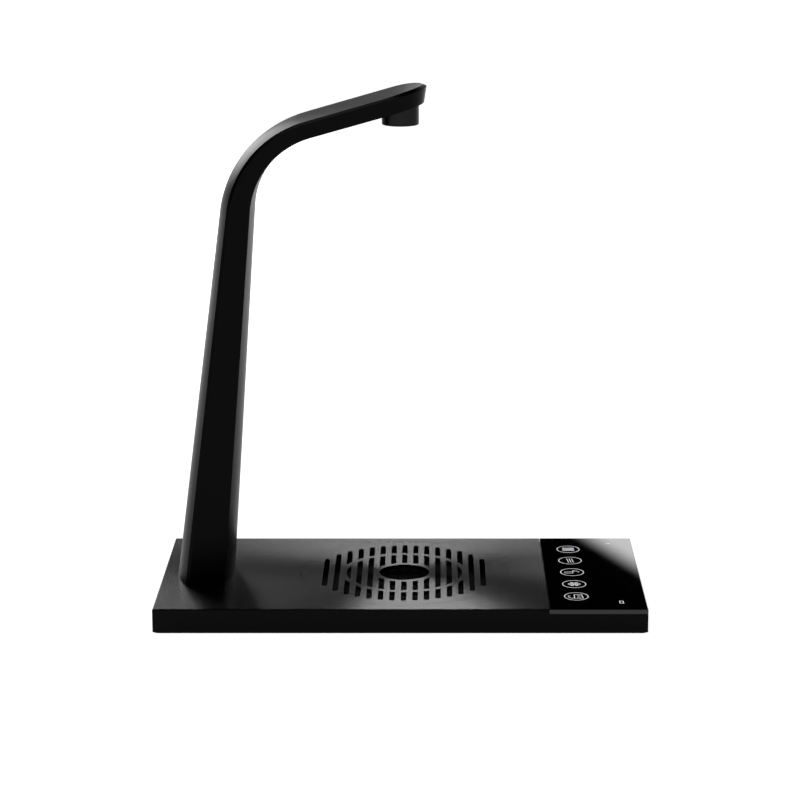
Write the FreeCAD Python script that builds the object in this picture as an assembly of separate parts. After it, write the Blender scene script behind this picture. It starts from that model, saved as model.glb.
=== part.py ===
import FreeCAD, Part
import math
import os

# A worktop tap that serves boiling, chilled and sparkling water. A flat base holds
# a drip tray and a glass touch panel, and a tapering swan neck reaches over the tray.
# Millimetres. +X points to the panel end, where the user stands, +Y across the base,
# +Z up. The origin is the centre of the underside, on the worktop.

V = FreeCAD.Vector
UP = V(0, 0, 1)

# ---------------------------------------------------------------- clearances
running_gap = 0.08       # radial, between round pieces that slide or turn
seat_gap = 0.1           # between a piece and the casting that it seats in
panel_gap = 0.2          # round the glass and the covers
grille_gap = 0.45        # round the drip grille, a seam that shows
body_gap = 0.3           # between pieces that lift apart
thread_gap = 0.05        # radial, between a screw and its hole

# ---------------------------------------------------------------- base
base_length = 350.0
base_margin = 8.9        # from the drip grille's edge to the base's long sides
base_height = 18.0       # top face above the worktop
base_wall = 4.0
base_skin = 3.0
base_bevel = 0.6
seal_thickness = 1.0     # foam seal between the base and the worktop
seal_width = 2.5
seal_inset = 0.8
seal_corner = 1.0        # inner corner radius
cover_thickness = 2.0

# ---------------------------------------------------------------- drip tray
tray_x = 2.0
grille_radius = 76.1
grille_thickness = 3.0
eye_radius = 18.3        # round hole under the nozzle
rim_width = 4.0          # solid ring round the eye
bridge_radius = 44.5     # middle of the ring that ties the bars together
bridge_width = 4.0
slot_pitch = 8.25
slot_width = 4.0
slot_margin = 10.1       # from the grille's edge to the circle that the slots fill
locating_pin_radius = 0.9
locating_pin_inset = 2.2  # from the grille's edge to the pin's centre

bowl_wall = 1.2
bowl_flange = 4.0        # width of the lip that hangs on the ledge
bowl_fall = 0.8          # slope of the floor towards the sump
sump_depth = 1.4
ledge_thickness = 3.0
well_wall = 3.5
spigot_radius = 9.0
spigot_bore = 6.5
spigot_length = 1.8
ring_section = 1.2       # thickness of the bowl's sealing ring
ring_groove = 0.9        # depth of its groove
drain_bore = 7.0
drain_neck_wall = 2.5
drain_flange = 15.0
drain_step = 2.1         # ledge in the drain socket, above the base's underside
strainer_thickness = 0.8
strainer_skirt = 1.2
strainer_hole = 1.3
strainer_pitch = 4.2
strainer_rows = 3

# ---------------------------------------------------------------- touch panel
glass_length = 69.7
glass_thickness = 3.5
glass_bevel = 0.4
tape_thickness = 0.5
tape_width = 4.0
tape_inset = 1.0
key_count = 5
key_pitch = 28.1
key_radius = 9.0
key_setback = 20.4       # from the glass's inner edge to the row of keys
board_width = 30.0
board_margin = 7.8       # from the base's side walls to the board's ends
board_thickness = 1.6
board_screw_inset = 4.0
led_length = 2.0
led_width = 1.6
led_height = 0.7
chip_side = 10.0
chip_height = 1.2
chip_spacing = 34.0
socket_length = 14.0
socket_width = 6.0
socket_wall = 1.0
socket_inset = 19.6      # from the board's end to the socket's middle
socket_clear = 1.4       # between the socket and the cover under it
grommet_radius = 7.0
grommet_bore = 3.2
grommet_lip = 1.4

# ---------------------------------------------------------------- neck
neck_setback = 19.3      # base end to the neck's rear corners at the foot
neck_depth = 27.4        # rear to front corners at the foot
neck_rear_half = 31.5
neck_front_half = 26.0
rear_lean = 7.15         # degrees from upright
front_lean = 4.73
rear_bend = 76.8
front_bend = 59.3
arm_top_pitch = 16.1     # degrees from level
arm_under_pitch = 15.8
arm_depth = 13.3         # at the nozzle, corner to corner
neck_wall = 2.2
neck_bevel = 1.6
rear_crowns = (8.5, 6.9, 1.9, 0.9, 0.1)    # at the foot, bend start, bend end, tip start, end
front_crowns = (5.3, 1.8, 0.3, 0.3, 0.3)
tip_round = 150.0        # radius that eases the arm's top towards its end
tip_start = -3.0         # from the nozzle's axis to where that radius begins
tip_overrun = 1.5        # how far the lofted arm runs on, as a share of its rounded end
tip_reach = 18.6         # past the nozzle's axis to the arm's end
tip_sweep = 29.0         # half length of the ellipse that rounds the end in plan
tip_end_draft = 9.2      # degrees
tip_bevel_in = 2.3       # bevel round the end's upper rim
tip_bevel_down = 1.4
foot_boss_height = 16.0
foot_boss_width = 9.0
foot_gasket = 1.0
foot_screw_rear = 5.0    # from the foot's rear corners to the rear screws
foot_screw_front = 9.0
foot_screw_clear = 1.2   # between the screws and the neck's wall
clamp_thickness = 3.0
clamp_margin = 5.0
clamp_cover = 1.0        # metal left over the inlet screws' tips
spacer_thickness = 6.0
spacer_heights = (0.28, 0.78)    # as shares of the straight column

# ---------------------------------------------------------------- nozzle
nozzle_x = 0.0
nozzle_height = 331.8    # outlet above the base's top
nozzle_radius = 13.2
nozzle_drop = 11.5       # outlet below the arm's underside at the nozzle's axis
nozzle_wall = 2.5
nozzle_lip = 1.2
nozzle_ledge = 1.4       # how far that lip reaches in under the insert
nozzle_edge = 0.6
sleeve_length = 16.2
insert_length = 4.4
insert_hole = 1.1
insert_ring = 6.2
insert_ring_holes = 12
insert_inner_ring = 3.2
insert_inner_holes = 6
washer_thickness = 0.6
washer_width = 2.4
manifold_half_width = 21.0
manifold_back = 28.0     # behind the nozzle's axis
manifold_front = 10.0
manifold_rise = 5.5      # above the tubes' centre plane
channel_radius = 2.0
channel_pitch = 6.0
hatch_half_width = 22.0  # cover under the arm, through which the manifold goes in
hatch_back = 58.0
hatch_front = 17.0
hatch_boss_radius = 3.0
hatch_screw_y = 18.5
hatch_screw_inset = 6.0  # rear pair, from the hatch's back edge
hatch_screw_fore = 5.0   # front pair, past the manifold's back

# ---------------------------------------------------------------- water tubes
tube_pitch = 12.0
hot_tube_radius = 4.0
hot_tube_bore = 2.5
cool_tube_radius = 3.175
cool_tube_bore = 2.2
tube_lift = 0.8          # above the arm's middle plane
tube_bend = 68.0
tube_foot_bend = 90.0
tube_foot_rise = 14.0    # straight stretch above the base before the lean
tube_seat = 6.0
inlet_thread = 4.3       # G1/8 tapping radius
inlet_thread_depth = 5.0
inlet_half_length = 26.0
inlet_half_width = 8.0
inlet_screw_inset = 3.4

# ---------------------------------------------------------------- fasteners
cover_screw = (1.5, 3.0, 1.6, 7.0)      # shank radius, head radius, head height, length
board_screw = (1.25, 2.2, 1.2, 4.0)
hatch_screw = (1.25, 2.4, 1.3, 6.0)
neck_screw = (2.0, 3.6, 2.2, 17.0)
inlet_head = (1.5, 2.7, 1.6)            # as the others, without the length
cover_boss_radius = 4.0
cover_boss_inset = 2.5   # from the inner wall to the boss's axis
cover_boss_x = 70.0      # the middle pairs of bosses
mount_clear = 5.7        # between the bosses of the worktop studs and the touch board
mount_inset = 25.0       # from the base's long sides to those studs
mount_boss_radius = 7.0
bush_radius = 4.5
bush_length = 10.0
bush_thread = 2.5        # M6 tapping radius

# ---------------------------------------------------------------- levels and places
base_under = seal_thickness
cover_top = base_under + cover_thickness
skin_under = base_height - base_skin
base_width = 2 * (grille_radius + base_margin)
end_x = base_length / 2
side_y = base_width / 2

grille_under = base_height - grille_thickness
flange_under = grille_under - bowl_wall
well_radius = grille_radius + grille_gap
bowl_radius = grille_radius - bowl_flange
spigot_end = base_under + drain_step + body_gap
sump_under = spigot_end + spigot_length
sump_floor = sump_under + bowl_wall
floor_middle = sump_floor + sump_depth
floor_edge = floor_middle + bowl_fall
sump_radius = eye_radius - body_gap - seat_gap
groove_radius = spigot_radius - ring_groove
ring_radius = groove_radius + ring_section / 2
socket_radius = ring_radius + ring_section / 2 + running_gap
drain_neck = socket_radius + drain_neck_wall

slot_field_radius = grille_radius - slot_margin
slot_columns = int((slot_field_radius - slot_width) / slot_pitch)    # each side of the middle one
ringed_columns = int(bridge_radius / slot_pitch)                     # those that the rings cross

glass_x = end_x - glass_length
tape_floor = base_height - glass_thickness - tape_thickness
shelf_under = tape_floor - base_skin
key_x = glass_x + key_setback
board_half_length = side_y - base_wall - board_margin
board_under = shelf_under - board_thickness
socket_height = board_under - cover_top - socket_clear
grommet_x = (key_x + board_width / 2 + end_x - base_wall) / 2
mount_x = key_x - board_width / 2 - mount_boss_radius - mount_clear
mount_y = side_y - mount_inset

outlet_z = base_height + nozzle_height
arm_under_z = outlet_z + nozzle_drop
arm_top_z = arm_under_z + arm_depth
foot_rear_x = -end_x + neck_setback
foot_front_x = foot_rear_x + neck_depth
inlet_screw = (*inlet_head, skin_under - base_under - clamp_cover)
tip_x = nozzle_x + tip_reach
tip_centre_x = tip_x - tip_sweep
tip_end = 3 + 1 / tip_overrun    # the loft's station at the arm's end


# ---------------------------------------------------------------- helpers
def box(x0, x1, y0, y1, z0, z1):
    return Part.makeBox(x1 - x0, y1 - y0, z1 - z0, V(x0, y0, z0))


def disc(radius, x, y, z0, z1):
    return Part.makeCylinder(radius, z1 - z0, V(x, y, z0))


def tube(outer, bore, x, y, z0, z1):
    return disc(outer, x, y, z0, z1).cut(disc(bore, x, y, z0, z1))


def rod(radius, start, end):
    return Part.makeCylinder(radius, (end - start).Length, start, end - start)


def joined(shapes):
    first, rest = shapes[0], shapes[1:]
    return first.fuse(rest).removeSplitter() if rest else first


def turned(profile, x, y):
    """A solid of revolution about the upright axis through x, y, from (r, z) points."""
    points = [V(x + r, y, z) for r, z in profile]
    wire = Part.makePolygon(points + points[:1])
    return Part.Face(wire).revolve(V(x, y, 0), UP, 360)


def rounded_box(x0, x1, y0, y1, z0, z1, radius):
    solid = box(x0, x1, y0, y1, z0, z1)
    uprights = [e for e in solid.Edges if abs(e.tangentAt(e.FirstParameter).z) > 0.5]
    return solid.makeFillet(radius, uprights)


def screw(sizes, x, y, z, head_up=False):
    """A countersunk screw whose head is flush at z and whose shank goes up from it."""
    shank, head, head_height, length = sizes
    socket = 0.45 * head
    profile = [(0, 0.5 * head_height), (socket, 0.5 * head_height), (socket, 0), (head, 0),
               (shank, head_height), (shank, length), (0, length)]
    if head_up:
        profile = [(r, -h) for r, h in profile]
    return turned([(r, z + h) for r, h in profile], x, y)


def screw_hole(sizes, x, y, z, head_up=False):
    """The clearance cut for that screw, a little deeper than its tip."""
    shank, head, head_height, length = sizes
    shank, head = shank + thread_gap, head + thread_gap
    profile = [(0, -thread_gap), (head, -thread_gap), (head, 0), (shank, head_height + thread_gap),
               (shank, length + seat_gap), (0, length + seat_gap)]
    if head_up:
        profile = [(r, -h) for r, h in profile]
    return turned([(r, z + h) for r, h in profile], x, y)


def pan_screw(sizes, x, y, z):
    """A flat-headed screw whose head's upper face is at z and whose shank goes up from it."""
    shank, head, head_height, length = sizes
    socket = 0.45 * head
    profile = [(0, z - 0.5 * head_height), (socket, z - 0.5 * head_height), (socket, z - head_height),
               (head, z - head_height), (head, z), (shank, z), (shank, z + length), (0, z + length)]
    return turned(profile, x, y)


# ---------------------------------------------------------------- neck: its outline
def corner(point, heading, other, other_heading):
    """Where a line through point meets a line through other, all in the XZ plane."""
    gap = other - point
    cross = heading.x * other_heading.z - heading.z * other_heading.x
    along = (gap.x * other_heading.z - gap.z * other_heading.x) / cross
    return point + heading * along


def leaning(angle):
    return V(math.sin(math.radians(angle)), 0, math.cos(math.radians(angle)))


def rising(angle):
    return V(math.cos(math.radians(angle)), 0, math.sin(math.radians(angle)))


class Edge:
    """One long edge of the neck: a leaning line, a tangent bend and the arm's line."""

    def __init__(self, foot, lean, reach, pitch, bend, levels_off):
        self.foot = foot
        self.start, self.end = leaning(lean), rising(pitch)
        self.bend, self.pitch, self.levels_off = bend, pitch, levels_off
        knee = corner(foot, self.start, reach, self.end)
        self.turn = math.radians(90 - lean - pitch)
        setback = bend * math.tan(self.turn / 2)
        self.bend_start = knee - self.start * setback
        self.bend_end = knee + self.end * setback
        self.centre = self.bend_start + V(self.start.z, 0, -self.start.x) * bend
        run = (nozzle_x + tip_start - self.bend_end.x) / self.end.x
        self.tip_start = self.bend_end + self.end * run

    def at(self, station):
        """0 is the foot, 1 and 2 the bend's ends, 3 where the tip starts, 4 past its end."""
        if station <= 1:
            return self.foot + (self.bend_start - self.foot) * station
        if station < 2:
            swing = self.turn * (station - 1)
            radius = self.bend_start - self.centre
            return self.centre + V(radius.x * math.cos(swing) + radius.z * math.sin(swing), 0,
                                   radius.z * math.cos(swing) - radius.x * math.sin(swing))
        if station <= 3:
            return self.bend_end + (self.tip_start - self.bend_end) * (station - 2)
        along = (station - 3) * (tip_reach - tip_start) * tip_overrun
        if not self.levels_off:
            return self.tip_start + self.end * along
        pitch = math.radians(self.pitch)
        swing = min(along / tip_round, pitch)
        level = along - swing * tip_round
        return self.tip_start + V(tip_round * (math.sin(pitch) - math.sin(pitch - swing)) + level, 0,
                                  tip_round * (math.cos(pitch - swing) - math.cos(pitch)))


rear_edge = Edge(V(foot_rear_x, 0, base_height), rear_lean, V(nozzle_x, 0, arm_top_z),
                 arm_top_pitch, rear_bend, True)
front_edge = Edge(V(foot_front_x, 0, base_height), front_lean, V(nozzle_x, 0, arm_under_z),
                  arm_under_pitch, front_bend, False)


def share(values, station):
    """A value between those given at stations 0 to 4."""
    low = min(int(station), len(values) - 2)
    return values[low] + (values[low + 1] - values[low]) * (station - low)


def neck_section(station, inset):
    """The neck's closed outline across its length: crowned rear and front, flat sides."""
    rear, front = rear_edge.at(station), front_edge.at(station)
    across = front - rear
    depth = across.Length
    across = across / depth
    slope = (neck_rear_half - neck_front_half) / depth
    side_inset = inset * math.sqrt(1 + slope * slope)

    def half_width(u):
        return neck_rear_half - slope * u - side_inset

    def place(u, v):
        point = rear + across * u
        return V(point.x, v, point.z)

    rear_crown, front_crown = share(rear_crowns, station), share(front_crowns, station)
    half = half_width(inset)
    radius = (half * half + rear_crown * rear_crown) / (2 * rear_crown)
    shoulder = inset - rear_crown + radius - math.sqrt(radius ** 2 - (half - neck_bevel) ** 2)
    side = inset + neck_bevel
    chin = depth - inset
    points = [place(shoulder, half - neck_bevel), place(side, half_width(side)),
              place(chin, half_width(chin)), place(chin, -half_width(chin)),
              place(side, -half_width(side)), place(shoulder, neck_bevel - half)]
    edges = [Part.makeLine(points[0], points[1]), Part.makeLine(points[1], points[2]),
             Part.Arc(points[2], place(chin + front_crown, 0), points[3]).toShape(),
             Part.makeLine(points[3], points[4]), Part.makeLine(points[4], points[5]),
             Part.Arc(points[5], place(inset - rear_crown, 0), points[0]).toShape()]
    return Part.Wire(edges)


def ellipse(x, half_x, half_y, z, climb):
    """Two half ellipses that meet on the X axis, in a plane through x, z that climbs towards +X."""
    centre, along = V(x, 0, z), V(half_x, 0, half_x * climb)
    if along.Length > half_y:
        curve, start = Part.Ellipse(centre + along, centre + V(0, half_y, 0), centre), 0
    else:
        curve, start = Part.Ellipse(centre + V(0, half_y, 0), centre - along, centre), 1.5 * math.pi
    halves = [Part.ArcOfEllipse(curve, turn, turn + math.pi) for turn in (start, start + math.pi)]
    return Part.Wire([half.toShape() for half in halves])


def tip_waste(inset):
    """What the arm's rounded end takes off the lofted arm: its sides run on into an ellipse."""
    climb = math.tan(math.radians(arm_top_pitch))
    end_slope = math.tan(math.radians(tip_end_draft))
    side_slope = (neck_rear_half - neck_front_half) / arm_depth
    rim = arm_top_z + (tip_centre_x - nozzle_x) * climb - neck_bevel
    rim_end = rear_edge.at(tip_end).z + share(rear_crowns, tip_end) - tip_bevel_down
    rim_climb = (rim_end - rim) / tip_sweep
    taper = side_slope * (climb - rim_climb)
    side = neck_rear_half - side_slope * neck_bevel          # the arm's side, at the rim
    tangent_x = tip_centre_x + taper * tip_sweep ** 2 / side
    outward = (seat_gap / 2 - inset) * math.hypot(1, side_slope)
    half = math.sqrt(side ** 2 - (taper * tip_sweep) ** 2) + outward

    def ring(end_in, side_in, rise):
        return ellipse(tip_centre_x, tip_sweep - inset - end_in, half - side_in, rim + rise, rim_climb)

    drop, rise = 2 * arm_depth, 3 * tip_bevel_down
    end_form = Part.makeLoft([ring(drop * end_slope, drop * side_slope, -drop), ring(0, 0, 0),
                              ring(3 * tip_bevel_in, rise * (1 - side_slope), rise)], True, True)
    block = box(tangent_x, tip_x + 3 * tip_reach, -2 * neck_rear_half, 2 * neck_rear_half,
                arm_under_z - arm_depth, rim_end + rise)
    return block.cut(end_form)


def neck_form(inset):
    """The neck's solid form, set in by inset from its outer skin."""
    bend = [1 + step / 8 for step in range(9)]
    tip = [3 + step / 4 for step in range(5)]
    parts = [Part.makeLoft([neck_section(0, inset), neck_section(1, inset)], True, True),
             Part.makeLoft([neck_section(s, inset) for s in bend], True, False),
             Part.makeLoft([neck_section(2, inset), neck_section(3, inset)], True, True),
             Part.makeLoft([neck_section(s, inset) for s in tip], True, False)]
    return joined(parts).cut(tip_waste(inset))


neck_outer = neck_form(0)
neck_inner = neck_form(neck_wall)
neck_seat = neck_form(neck_wall + seat_gap)


# ---------------------------------------------------------------- the arm's own frame
arm_middle = V(nozzle_x, 0, (arm_top_z + arm_under_z) / 2)


def arm_place(shape):
    """Carries a shape drawn level about the origin to the arm's slope at the nozzle."""
    moved = shape.copy()
    moved.rotate(V(0, 0, 0), V(0, 1, 0), -arm_under_pitch)
    moved.translate(arm_middle)
    return moved


def arm_point(along, across, up):
    slope = rising(arm_under_pitch)
    return arm_middle + slope * along + V(0, across, 0) + V(-slope.z, 0, slope.x) * up


# ---------------------------------------------------------------- water tubes: their routes
def rounded_route(points, radii):
    """Straight runs joined by tangent arcs, as a wire."""
    edges = []
    start = points[0]
    for before, here, after, radius in zip(points, points[1:], points[2:], radii):
        come, go = (here - before).normalize(), (after - here).normalize()
        turn = come.getAngle(go)
        setback = radius * math.tan(turn / 2)
        arc_start, arc_end = here - come * setback, here + go * setback
        inward = (go - come).normalize()
        bulge = here + inward * (radius / math.cos(turn / 2) - radius)
        edges += [Part.makeLine(start, arc_start), Part.Arc(arc_start, bulge, arc_end).toShape()]
        start = arc_end
    edges.append(Part.makeLine(start, points[-1]))
    return Part.Wire(edges)


column_low = (rear_edge.foot + front_edge.foot) * 0.5
column_high = (rear_edge.bend_start + front_edge.bend_start) * 0.5
low_crown = (front_crowns[0] - rear_crowns[0]) / 2
high_crown = (front_crowns[1] - rear_crowns[1]) / 2
column_low = column_low + V(low_crown, 0, 0)
column_high = column_high + V(high_crown, 0, 0)
column_way = (column_high - column_low).normalize()
tube_turn = column_low + column_way * tube_foot_rise
tube_x = tube_turn.x
tube_knee = corner(column_low, column_way, arm_point(0, 0, tube_lift), rising(arm_under_pitch))
tube_end = arm_point(-manifold_back + tube_seat, 0, tube_lift)
tube_low = base_under + inlet_thread_depth
tube_route = [V(tube_x, 0, tube_low), tube_turn, tube_knee, tube_end]
tubes = {"hot_tube": (0.0, hot_tube_radius, hot_tube_bore),
         "chilled_tube": (-tube_pitch, cool_tube_radius, cool_tube_bore),
         "sparkling_tube": (tube_pitch, cool_tube_radius, cool_tube_bore)}


def tube_rod(across, radius):
    route = rounded_route(tube_route, (tube_foot_bend, tube_bend))
    route.translate(V(0, across, 0))
    ring = Part.Wire([Part.Circle(V(tube_x, across, tube_low), UP, radius).toShape()])
    return route.makePipeShell([ring], True, False)


def water_tube(across, radius, bore):
    return tube_rod(across, radius).cut(tube_rod(across, bore))


def tube_clearance():
    return Part.makeCompound([tube_rod(y, r + seat_gap) for y, r, bore in tubes.values()])


# ---------------------------------------------------------------- places of the fasteners
def four(x, y):
    return [(sx * x, sy * y) for sx in (-1, 1) for sy in (-1, 1)]


cover_screw_y = side_y - base_wall - cover_boss_inset
cover_screw_places = (four(end_x - base_wall - cover_boss_inset, cover_screw_y)
                      + [(tray_x + x, y) for x, y in four(cover_boss_x, cover_screw_y)])
mount_places = four(mount_x, mount_y)
board_screw_places = [(key_x + x, y) for x, y in four(board_width / 2 - board_screw_inset,
                                                      board_half_length - board_screw_inset)]
foot_screw_y = neck_front_half - neck_wall - neck_screw[0] - foot_screw_clear
foot_screw_places = [(x, sy * foot_screw_y) for sy in (-1, 1)
                     for x in (foot_rear_x + foot_screw_rear, foot_front_x - foot_screw_front)]
inlet_screw_places = [(tube_x, sy * (inlet_half_length - inlet_screw_inset)) for sy in (-1, 1)]
window_half_x = inlet_half_width + body_gap
window_half_y = inlet_half_length + body_gap


# ---------------------------------------------------------------- base
def base_shell():
    body = box(-end_x, end_x, -side_y, side_y, base_under, base_height)
    rim = [e for e in body.Edges if e.BoundBox.ZMin > base_height - 0.01]
    body = body.makeChamfer(base_bevel, rim)
    inner_x, inner_y = end_x - base_wall, side_y - base_wall
    shelf_x = glass_x - base_wall
    cavity = box(-inner_x, shelf_x, -inner_y, inner_y, base_under, skin_under)
    panel_bay = box(shelf_x - base_wall, inner_x, -inner_y, inner_y, base_under, shelf_under)
    body = body.cut([cavity, panel_bay])
    well = disc(well_radius + well_wall, tray_x, 0, flange_under - ledge_thickness, skin_under)
    bosses = [disc(cover_boss_radius, x, y, cover_top, skin_under if x < shelf_x else shelf_under)
              for x, y in cover_screw_places]
    bosses += [disc(mount_boss_radius, x, y, base_under, skin_under) for x, y in mount_places]
    body = joined([body, well] + bosses)
    cuts = [disc(well_radius, tray_x, 0, flange_under, base_height),
            disc(bowl_radius + body_gap, tray_x, 0, base_under, base_height),
            box(glass_x - panel_gap, end_x, -side_y, side_y, tape_floor, base_height)]
    cuts += [screw_hole(cover_screw, x, y, base_under) for x, y in cover_screw_places]
    cuts += [disc(bush_radius, x, y, base_under, base_under + bush_length) for x, y in mount_places]
    cuts += [disc(neck_screw[0] + seat_gap, x, y, skin_under, base_height) for x, y in foot_screw_places]
    cuts += [disc(radius + 3 * seat_gap, tube_x, y, skin_under, base_height)
             for y, radius, bore in tubes.values()]
    cuts += [disc(key_radius + body_gap, key_x, y, shelf_under, tape_floor) for y in key_places()]
    cuts += [disc(board_screw[0] + thread_gap, x, y, shelf_under, board_under + board_screw[3] + seat_gap)
             for x, y in board_screw_places]
    return body.cut(cuts)


def base_seal():
    outer_x, outer_y = end_x - seal_inset, side_y - seal_inset
    outer = rounded_box(-outer_x, outer_x, -outer_y, outer_y, 0, seal_thickness,
                        seal_width + seal_corner)
    inner_x, inner_y = outer_x - seal_width, outer_y - seal_width
    return outer.cut(rounded_box(-inner_x, inner_x, -inner_y, inner_y, 0, seal_thickness, seal_corner))


def base_cover():
    half_x, half_y = end_x - base_wall - panel_gap, side_y - base_wall - panel_gap
    plate = box(-half_x, half_x, -half_y, half_y, base_under, cover_top)
    cuts = [disc(mount_boss_radius + body_gap, x, y, base_under, cover_top) for x, y in mount_places]
    cuts += [screw_hole(cover_screw, x, y, base_under) for x, y in cover_screw_places]
    cuts += [disc(drain_neck + seat_gap, tray_x, 0, base_under, cover_top),
             disc(grommet_radius - grommet_lip + seat_gap, grommet_x, 0, base_under, cover_top),
             box(tube_x - window_half_x, tube_x + window_half_x, -window_half_y, window_half_y,
                 base_under, cover_top)]
    return plate.cut(cuts)


def cover_screws():
    return Part.makeCompound([screw(cover_screw, x, y, base_under) for x, y in cover_screw_places])


def mount_bushes():
    return Part.makeCompound([tube(bush_radius, bush_thread, x, y, base_under, base_under + bush_length)
                              for x, y in mount_places])


# ---------------------------------------------------------------- drip tray
def slot(x):
    """One full slot column, with rounded ends, before the rings are left out of it."""
    half = math.sqrt(slot_field_radius ** 2 - (x - tray_x) ** 2) - slot_width / 2
    width = slot_width / 2
    bar = box(x - width, x + width, -half, half, grille_under, base_height)
    ends = [disc(width, x, sy * half, grille_under, base_height) for sy in (-1, 1)]
    return joined([bar] + ends)


def drip_grille():
    plate = disc(grille_radius, tray_x, 0, grille_under, base_height)
    bridge = tube(bridge_radius + bridge_width / 2, bridge_radius - bridge_width / 2,
                  tray_x, 0, grille_under, base_height)
    rim = disc(eye_radius + rim_width, tray_x, 0, grille_under, base_height)
    slots = []
    for column in range(-slot_columns, slot_columns + 1):
        cut = slot(tray_x + column * slot_pitch)
        if abs(column) <= ringed_columns:
            cut = cut.cut([bridge, rim])
        slots.append(cut)
    holes = [disc(eye_radius, tray_x, 0, grille_under, base_height),
             disc(locating_pin_radius + seat_gap, pin_x(), 0, grille_under, base_height)]
    return plate.cut(slots + holes)


def pin_x():
    return tray_x - grille_radius + locating_pin_inset


def locating_pin():
    return disc(locating_pin_radius, pin_x(), 0, flange_under, base_height - seat_gap)


def drip_bowl():
    inner = bowl_radius - bowl_wall
    edge = sump_radius + bowl_wall
    shell = turned([(grille_radius, grille_under), (grille_radius, flange_under), (bowl_radius, flange_under),
                    (bowl_radius, floor_edge - bowl_wall), (edge, floor_middle - bowl_wall),
                    (edge, sump_under), (spigot_radius, sump_under), (spigot_radius, spigot_end),
                    (spigot_bore, spigot_end), (spigot_bore, sump_floor), (sump_radius, sump_floor),
                    (sump_radius, floor_middle), (inner, floor_edge), (inner, grille_under)], tray_x, 0)
    groove_half = ring_section / 2 + thread_gap / 2
    groove_z = (sump_under + spigot_end) / 2
    groove = tube(spigot_radius + 1, groove_radius - thread_gap, tray_x, 0,
                  groove_z - groove_half, groove_z + groove_half)
    return shell.cut([groove, disc(locating_pin_radius, pin_x(), 0, flange_under, grille_under)])


def bowl_seal():
    return Part.makeTorus(ring_radius, ring_section / 2, V(tray_x, 0, (sump_under + spigot_end) / 2))


def drain_strainer():
    radius = sump_radius - body_gap
    plate_under = floor_middle - strainer_thickness
    cap = disc(radius, tray_x, 0, sump_floor, floor_middle)
    cap = cap.cut(disc(radius - strainer_skirt, tray_x, 0, sump_floor, plate_under))
    holes = []
    for row in range(-strainer_rows, strainer_rows + 1):
        count = 2 * strainer_rows + 1 - abs(row)
        for step in range(count):
            x = tray_x + (step - (count - 1) / 2) * strainer_pitch
            y = row * strainer_pitch * math.sqrt(3) / 2
            holes.append(disc(strainer_hole, x, y, plate_under, floor_middle))
    return cap.cut(holes)


def drain_socket():
    top = sump_under - body_gap
    step = spigot_end - body_gap
    return turned([(drain_bore, base_under), (drain_neck, base_under), (drain_neck, cover_top),
                   (drain_flange, cover_top), (drain_flange, top), (socket_radius, top),
                   (socket_radius, step), (drain_bore, step)], tray_x, 0)


# ---------------------------------------------------------------- touch panel
def key_places():
    return [(step - (key_count - 1) / 2) * key_pitch for step in range(key_count)]


def glass_panel():
    plate = box(glass_x, end_x, -side_y, side_y, base_height - glass_thickness, base_height)
    rim = [e for e in plate.Edges if e.BoundBox.ZMin > base_height - 0.01]
    return plate.makeChamfer(glass_bevel, rim)


def panel_tape():
    top = base_height - glass_thickness
    inset, inner = tape_inset, tape_inset + tape_width
    sheet = box(glass_x + inset, end_x - inset, inset - side_y, side_y - inset, tape_floor, top)
    return sheet.cut(box(glass_x + inner, end_x - inner, inner - side_y, side_y - inner, tape_floor, top))


def touch_board():
    half = board_width / 2
    board = box(key_x - half, key_x + half, -board_half_length, board_half_length, board_under, shelf_under)
    return board.cut([disc(board_screw[0] + thread_gap, x, y, board_under, shelf_under)
                      for x, y in board_screw_places])


def key_diffusers():
    pucks = []
    for y in key_places():
        puck = disc(key_radius, key_x, y, shelf_under, tape_floor + tape_thickness)
        pocket = box(key_x - led_length, key_x + led_length, y - led_width, y + led_width,
                     shelf_under, shelf_under + led_height + seat_gap)
        pucks.append(puck.cut(pocket))
    return Part.makeCompound(pucks)


def key_leds():
    half_x, half_y = led_length / 2, led_width / 2
    return Part.makeCompound([box(key_x - half_x, key_x + half_x, y - half_y, y + half_y,
                                  shelf_under, shelf_under + led_height) for y in key_places()])


def board_chips():
    half = chip_side / 2
    return Part.makeCompound([box(key_x - half, key_x + half, y - half, y + half,
                                  board_under - chip_height, board_under)
                              for y in (-chip_spacing, 0, chip_spacing)])


def board_connector():
    y = board_half_length - socket_inset
    half_x, half_y = socket_width / 2, socket_length / 2
    block = box(key_x - half_x, key_x + half_x, y - half_y, y + half_y,
                board_under - socket_height, board_under)
    mouth_x, mouth_y = half_x - socket_wall, half_y - socket_wall
    return block.cut(box(key_x - mouth_x, key_x + mouth_x, y - mouth_y, y + mouth_y,
                         board_under - socket_height, board_under - socket_wall))


def board_screws():
    return Part.makeCompound([pan_screw(board_screw, x, y, board_under) for x, y in board_screw_places])


def cable_grommet():
    waist = grommet_radius - grommet_lip
    return turned([(grommet_bore, base_under), (waist, base_under), (waist, cover_top),
                   (grommet_radius, cover_top), (grommet_radius, cover_top + grommet_lip),
                   (grommet_bore, cover_top + grommet_lip)], grommet_x, 0)


# ---------------------------------------------------------------- neck
def hatch_tool(gap):
    depth = arm_depth / 2 * math.cos(math.radians(arm_under_pitch))
    return arm_place(box(-hatch_back + gap, -hatch_front - gap, gap - hatch_half_width,
                         hatch_half_width - gap, -2 * depth, neck_wall - depth))


hatch_screw_along = (-hatch_back + hatch_screw_inset, -manifold_back + hatch_screw_fore)
hatch_under = -(arm_depth / 2) * math.cos(math.radians(arm_under_pitch))


def hatch_screw_shapes(make, rear_only=False):
    """The screws under the arm, or their holes, square to its underside."""
    rows = hatch_screw_along[:1] if rear_only else hatch_screw_along
    return [arm_place(make(hatch_screw, along, side * hatch_screw_y, hatch_under))
            for along in rows for side in (-1, 1)]


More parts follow.
